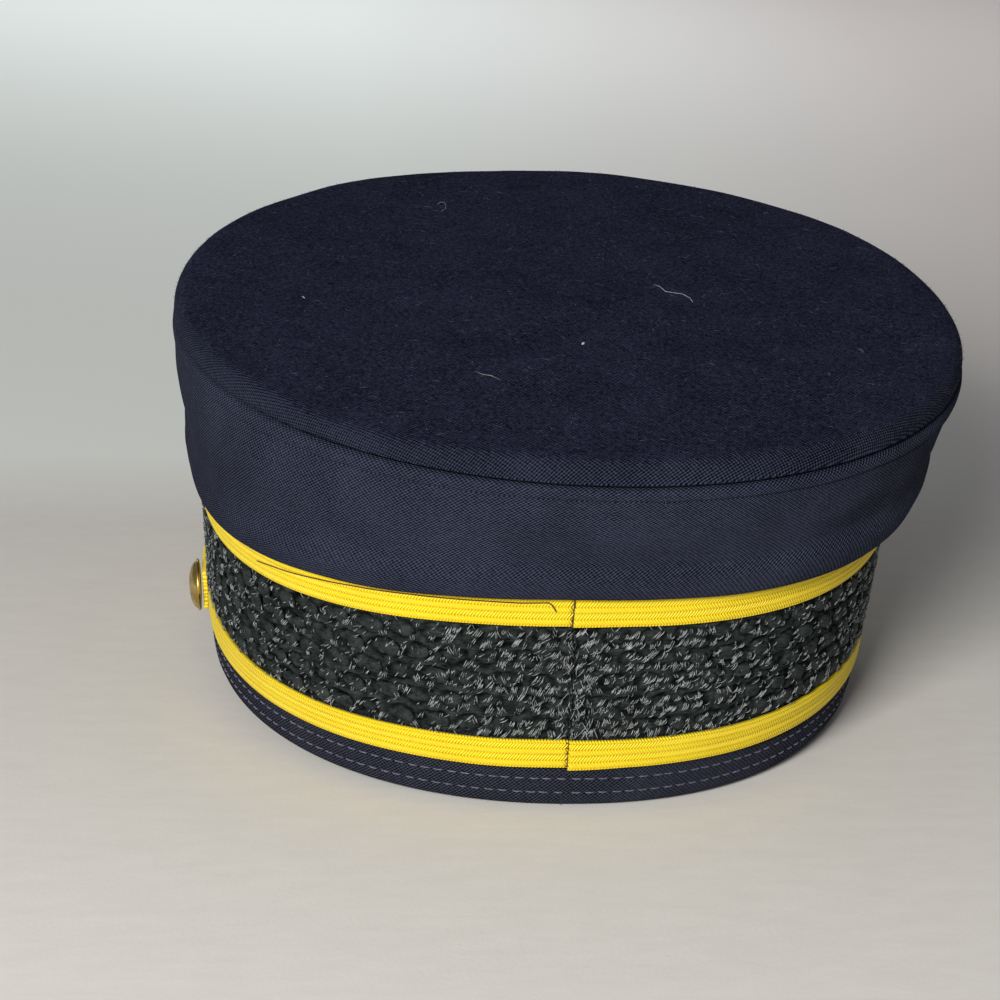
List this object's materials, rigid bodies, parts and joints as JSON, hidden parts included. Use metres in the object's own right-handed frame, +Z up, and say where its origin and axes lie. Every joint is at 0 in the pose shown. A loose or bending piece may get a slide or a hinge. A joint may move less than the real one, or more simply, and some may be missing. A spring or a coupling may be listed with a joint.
{
  "type": "conductor cap",
  "caption": "Conductor's uniform cap with a soft oval crown over a stiff band trimmed in gold and black braid, with a peak, a front strap and side buttons",
  "frame": {"origin": "under the middle of the cap's bounding box, on the surface the cap rests on", "axes": "+Z up, -Y towards the peak and the wearer's front, +X towards the wearer's left; the cap is tilted about X as it rests on its rim and peak"},
  "size_m": [0.2028, 0.2676, 0.1085],
  "materials": {
    "navy_serge": "matt worsted serge",
    "gold_braid": "flat woven braid, slight sheen",
    "black_mohair": "raised black braid",
    "black_patent": "glossy patent",
    "gilt": "polished gilt"
  },
  "bodies": {
    "root": {"band": "navy_serge", "crown_side": "navy_serge", "crown_top": "navy_serge", "gold_braid_lower": "gold_braid", "gold_braid_upper": "gold_braid", "front_strap": "gold_braid", "mohair_band": "black_mohair", "peak": "black_patent", "button_left": "gilt", "button_right": "gilt"}
  },
  "joints": []
}
